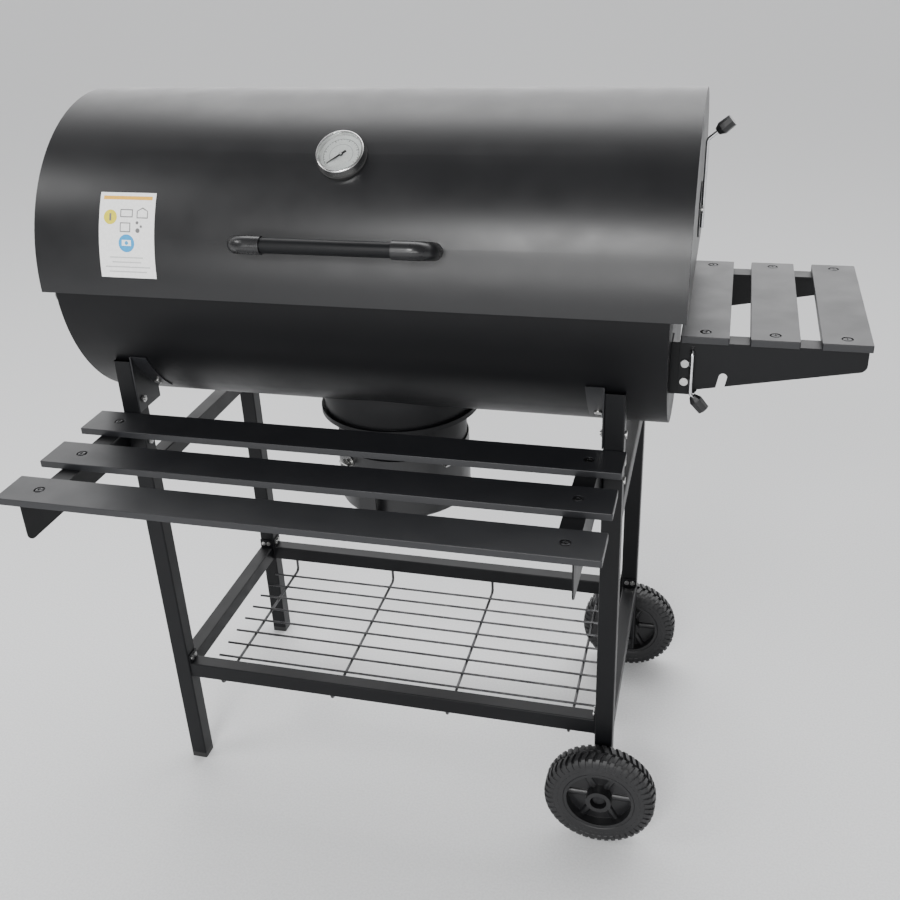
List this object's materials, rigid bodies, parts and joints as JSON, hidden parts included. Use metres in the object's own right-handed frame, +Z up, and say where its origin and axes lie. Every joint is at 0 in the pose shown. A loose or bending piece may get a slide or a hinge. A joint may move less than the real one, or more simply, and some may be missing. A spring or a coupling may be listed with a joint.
{
  "type": "barrel charcoal grill cart",
  "caption": "Black barrel charcoal grill on a two-wheeled tube cart, with hinged lid, thermometer, vent disc, slatted front and side shelves, wire rack and drop-off ash catcher.",
  "frame": {"origin": "on the floor, in the middle of the whole grill's bounding box", "axes": "+X along the barrel towards the side shelf and wheels, -Y towards the user at the front shelf, +Z up"},
  "size_m": [1.1664, 0.724, 1.131],
  "materials": {
    "black_paint": "satin black heat-resistant paint",
    "black_shelf": "satin black powder coat",
    "black_tube": "satin black powder coat on tube",
    "handle_plastic": "matt black moulded plastic",
    "knob_plastic": "semi-gloss black moulded plastic",
    "wire_chrome": "bright plated wire",
    "screw_zinc": "zinc-plated steel",
    "screw_black": "blackened steel",
    "bezel_chrome": "bright bezel",
    "dial_white": "white printed dial with plain scale arcs",
    "needle_black": "black needle",
    "glass_clear": "clear flat glass",
    "gasket_black": "black seal",
    "stem_steel": "stainless stem",
    "label_print": null,
    "tyre_black": "matt black moulded tread",
    "hub_black": "semi-gloss black moulded hub",
    "rack_wire": "grey plated wire",
    "cap_plastic": "black plastic foot",
    "grate_steel": "dark bare cooking grate"
  },
  "bodies": {
    "frame": {"barrel_shell": "black_paint", "barrel_end_left": "black_paint", "barrel_end_right": "black_paint", "hinge_leaves_barrel": "black_paint", "hinge_pins": "screw_zinc", "end_handle_elbows": "handle_plastic", "end_handle_grip": "black_tube", "side_arms": "black_shelf", "side_mounts": "black_shelf", "side_slats": "black_shelf", "leg_front_left": "black_tube", "leg_front_right": "black_tube", "leg_back_left": "black_tube", "leg_back_right": "black_tube", "foot_caps": "cap_plastic", "rail_front": "black_tube", "rail_back": "black_tube", "cross_rails": "black_tube", "rail_screws": "screw_zinc", "barrel_lugs": "black_shelf", "bracket_left": "black_shelf", "bracket_right": "black_shelf", "front_slats": "black_shelf", "shelf_screws": "screw_black", "frame_bolts": "screw_zinc", "axle_bolts": "screw_zinc", "rack_bars": "rack_wire", "rack_wires": "rack_wire", "ash_collar": "black_paint", "wing_screws": "screw_zinc", "ledges": "black_paint"},
    "lid": {"lid_shell": "black_paint", "lid_end_left": "black_paint", "lid_end_right": "black_paint", "hinge_leaves_lid": "black_paint", "lid_handle_elbows": "handle_plastic", "lid_handle_grip": "black_tube", "lid_handle_screws": "screw_zinc", "thermo_gasket": "gasket_black", "thermo_bezel": "bezel_chrome", "thermo_dial": "dial_white", "thermo_glass": "glass_clear", "thermo_stem": "stem_steel", "lid_label": "label_print", "vent_pivot": "screw_zinc"},
    "needle": {"thermo_needle": "needle_black"},
    "vent": {"vent_disc": "black_paint", "vent_lever": "wire_chrome", "vent_knob": "knob_plastic"},
    "shelf_pin": {"pin_lever": "wire_chrome", "pin_knob": "knob_plastic"},
    "front_wheel": {"tyre_front": "tyre_black", "hub_front": "hub_black"},
    "back_wheel": {"tyre_back": "tyre_black", "hub_back": "hub_black"},
    "ash_catcher": {"ash_bucket": "black_paint", "ash_strap": "black_paint"},
    "coal_tray": {"coal_tray": "grate_steel"},
    "left_grate": {"grate_left": "grate_steel"},
    "right_grate": {"grate_right": "grate_steel"}
  },
  "joints": [
    {"name": "lid_hinge", "type": "hinge", "parent": "frame", "child": "lid", "pos_m": [-0.09625, 0.3555, 0.898], "axis": [-1, 0, 0], "range_deg": [0, 85]},
    {"name": "needle_turn", "type": "hinge", "parent": "lid", "child": "needle", "pos_m": [-0.10225, -0.05038, 1.07576], "axis": [0, 0.6756, -0.7373], "range_deg": [0, 260]},
    {"name": "vent_turn", "type": "hinge", "parent": "lid", "child": "vent", "pos_m": [0.3548, 0.1125, 0.972], "axis": [1, 0, 0], "range_deg": [-45, 45]},
    {"name": "pin_swing", "type": "hinge", "parent": "frame", "child": "shelf_pin", "pos_m": [0.36175, -0.043, 0.828], "axis": [0, -1, 0], "range_deg": [0, 65]},
    {"name": "front_wheel_roll", "type": "hinge", "parent": "frame", "child": "front_wheel", "pos_m": [0.26725, -0.116, 0.088], "axis": [0, 1, 0], "continuous": true},
    {"name": "back_wheel_roll", "type": "hinge", "parent": "frame", "child": "back_wheel", "pos_m": [0.26725, 0.341, 0.088], "axis": [0, 1, 0], "continuous": true},
    {"name": "ash_catcher_drop", "type": "slide", "parent": "frame", "child": "ash_catcher", "axis": [0, 0, -1], "range_m": [0, 0.12]},
    {"name": "coal_tray_lift", "type": "slide", "parent": "frame", "child": "coal_tray", "axis": [0, 0, 1], "range_m": [0, 0.05]},
    {"name": "left_grate_lift", "type": "slide", "parent": "frame", "child": "left_grate", "axis": [0, 0, 1], "range_m": [0, 0.06]},
    {"name": "right_grate_lift", "type": "slide", "parent": "frame", "child": "right_grate", "axis": [0, 0, 1], "range_m": [0, 0.06]}
  ]
}
